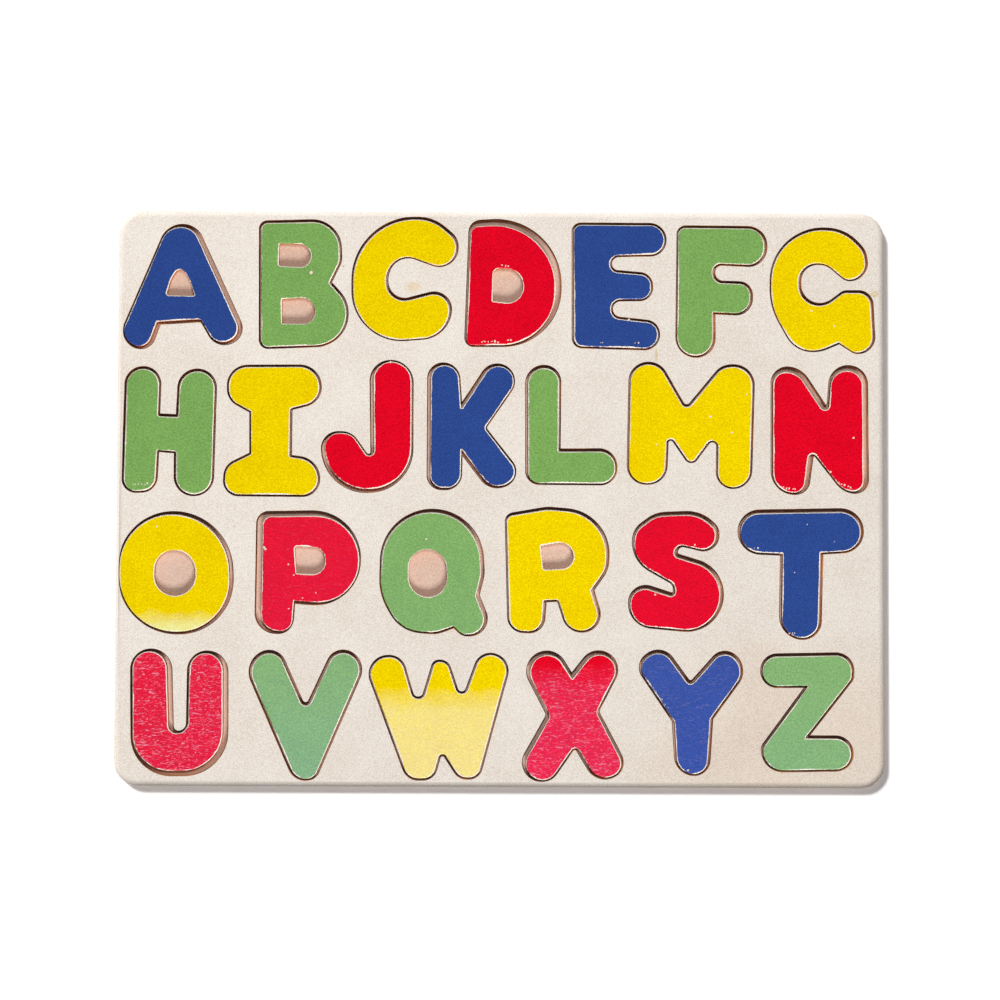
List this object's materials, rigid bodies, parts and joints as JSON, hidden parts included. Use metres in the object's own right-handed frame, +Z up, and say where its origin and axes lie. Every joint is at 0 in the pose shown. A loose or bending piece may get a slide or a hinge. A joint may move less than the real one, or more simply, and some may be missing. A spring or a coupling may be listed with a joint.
{
  "type": "wooden alphabet puzzle",
  "caption": "Wooden tray puzzle with painted capital letters that lie loose in recesses cut to their shapes and lift straight out.",
  "frame": {"origin": "middle of the tray's underside", "axes": "+X along the rows as the alphabet is read, +Y up the page towards the row that starts with A, +Z up out of the face"},
  "size_m": [0.3998, 0.2998, 0.009],
  "materials": {
    "backing_plywood": "bare sanded plywood",
    "face_plywood": "bare sanded plywood",
    "blue_paint": "satin paint on plywood, bare edges",
    "green_paint": "satin paint on plywood, bare edges",
    "yellow_paint": "satin paint on plywood, bare edges",
    "red_paint": "satin paint on plywood, bare edges"
  },
  "bodies": {
    "tray": {"backing_sheet": "backing_plywood", "face_sheet": "face_plywood"},
    "letter_a": {"letter_a": "blue_paint"},
    "letter_b": {"letter_b": "green_paint"},
    "letter_c": {"letter_c": "yellow_paint"},
    "letter_d": {"letter_d": "red_paint"},
    "letter_e": {"letter_e": "blue_paint"},
    "letter_f": {"letter_f": "green_paint"},
    "letter_g": {"letter_g": "yellow_paint"},
    "letter_h": {"letter_h": "green_paint"},
    "letter_i": {"letter_i": "yellow_paint"},
    "letter_j": {"letter_j": "red_paint"},
    "letter_k": {"letter_k": "blue_paint"},
    "letter_l": {"letter_l": "green_paint"},
    "letter_m": {"letter_m": "yellow_paint"},
    "letter_n": {"letter_n": "red_paint"},
    "letter_o": {"letter_o": "yellow_paint"},
    "letter_p": {"letter_p": "red_paint"},
    "letter_q": {"letter_q": "green_paint"},
    "letter_r": {"letter_r": "yellow_paint"},
    "letter_s": {"letter_s": "red_paint"},
    "letter_t": {"letter_t": "blue_paint"},
    "letter_u": {"letter_u": "red_paint"},
    "letter_v": {"letter_v": "green_paint"},
    "letter_w": {"letter_w": "yellow_paint"},
    "letter_x": {"letter_x": "red_paint"},
    "letter_y": {"letter_y": "blue_paint"},
    "letter_z": {"letter_z": "green_paint"}
  },
  "joints": [
    {"name": "lift_a", "type": "slide", "parent": "tray", "child": "letter_a", "axis": [0, 0, 1], "range_m": [0, 0.03]},
    {"name": "lift_b", "type": "slide", "parent": "tray", "child": "letter_b", "axis": [0, 0, 1], "range_m": [0, 0.03]},
    {"name": "lift_c", "type": "slide", "parent": "tray", "child": "letter_c", "axis": [0, 0, 1], "range_m": [0, 0.03]},
    {"name": "lift_d", "type": "slide", "parent": "tray", "child": "letter_d", "axis": [0, 0, 1], "range_m": [0, 0.03]},
    {"name": "lift_e", "type": "slide", "parent": "tray", "child": "letter_e", "axis": [0, 0, 1], "range_m": [0, 0.03]},
    {"name": "lift_f", "type": "slide", "parent": "tray", "child": "letter_f", "axis": [0, 0, 1], "range_m": [0, 0.03]},
    {"name": "lift_g", "type": "slide", "parent": "tray", "child": "letter_g", "axis": [0, 0, 1], "range_m": [0, 0.03]},
    {"name": "lift_h", "type": "slide", "parent": "tray", "child": "letter_h", "axis": [0, 0, 1], "range_m": [0, 0.03]},
    {"name": "lift_i", "type": "slide", "parent": "tray", "child": "letter_i", "axis": [0, 0, 1], "range_m": [0, 0.03]},
    {"name": "lift_j", "type": "slide", "parent": "tray", "child": "letter_j", "axis": [0, 0, 1], "range_m": [0, 0.03]},
    {"name": "lift_k", "type": "slide", "parent": "tray", "child": "letter_k", "axis": [0, 0, 1], "range_m": [0, 0.03]},
    {"name": "lift_l", "type": "slide", "parent": "tray", "child": "letter_l", "axis": [0, 0, 1], "range_m": [0, 0.03]},
    {"name": "lift_m", "type": "slide", "parent": "tray", "child": "letter_m", "axis": [0, 0, 1], "range_m": [0, 0.03]},
    {"name": "lift_n", "type": "slide", "parent": "tray", "child": "letter_n", "axis": [0, 0, 1], "range_m": [0, 0.03]},
    {"name": "lift_o", "type": "slide", "parent": "tray", "child": "letter_o", "axis": [0, 0, 1], "range_m": [0, 0.03]},
    {"name": "lift_p", "type": "slide", "parent": "tray", "child": "letter_p", "axis": [0, 0, 1], "range_m": [0, 0.03]},
    {"name": "lift_q", "type": "slide", "parent": "tray", "child": "letter_q", "axis": [0, 0, 1], "range_m": [0, 0.03]},
    {"name": "lift_r", "type": "slide", "parent": "tray", "child": "letter_r", "axis": [0, 0, 1], "range_m": [0, 0.03]},
    {"name": "lift_s", "type": "slide", "parent": "tray", "child": "letter_s", "axis": [0, 0, 1], "range_m": [0, 0.03]},
    {"name": "lift_t", "type": "slide", "parent": "tray", "child": "letter_t", "axis": [0, 0, 1], "range_m": [0, 0.03]},
    {"name": "lift_u", "type": "slide", "parent": "tray", "child": "letter_u", "axis": [0, 0, 1], "range_m": [0, 0.03]},
    {"name": "lift_v", "type": "slide", "parent": "tray", "child": "letter_v", "axis": [0, 0, 1], "range_m": [0, 0.03]},
    {"name": "lift_w", "type": "slide", "parent": "tray", "child": "letter_w", "axis": [0, 0, 1], "range_m": [0, 0.03]},
    {"name": "lift_x", "type": "slide", "parent": "tray", "child": "letter_x", "axis": [0, 0, 1], "range_m": [0, 0.03]},
    {"name": "lift_y", "type": "slide", "parent": "tray", "child": "letter_y", "axis": [0, 0, 1], "range_m": [0, 0.03]},
    {"name": "lift_z", "type": "slide", "parent": "tray", "child": "letter_z", "axis": [0, 0, 1], "range_m": [0, 0.03]}
  ]
}
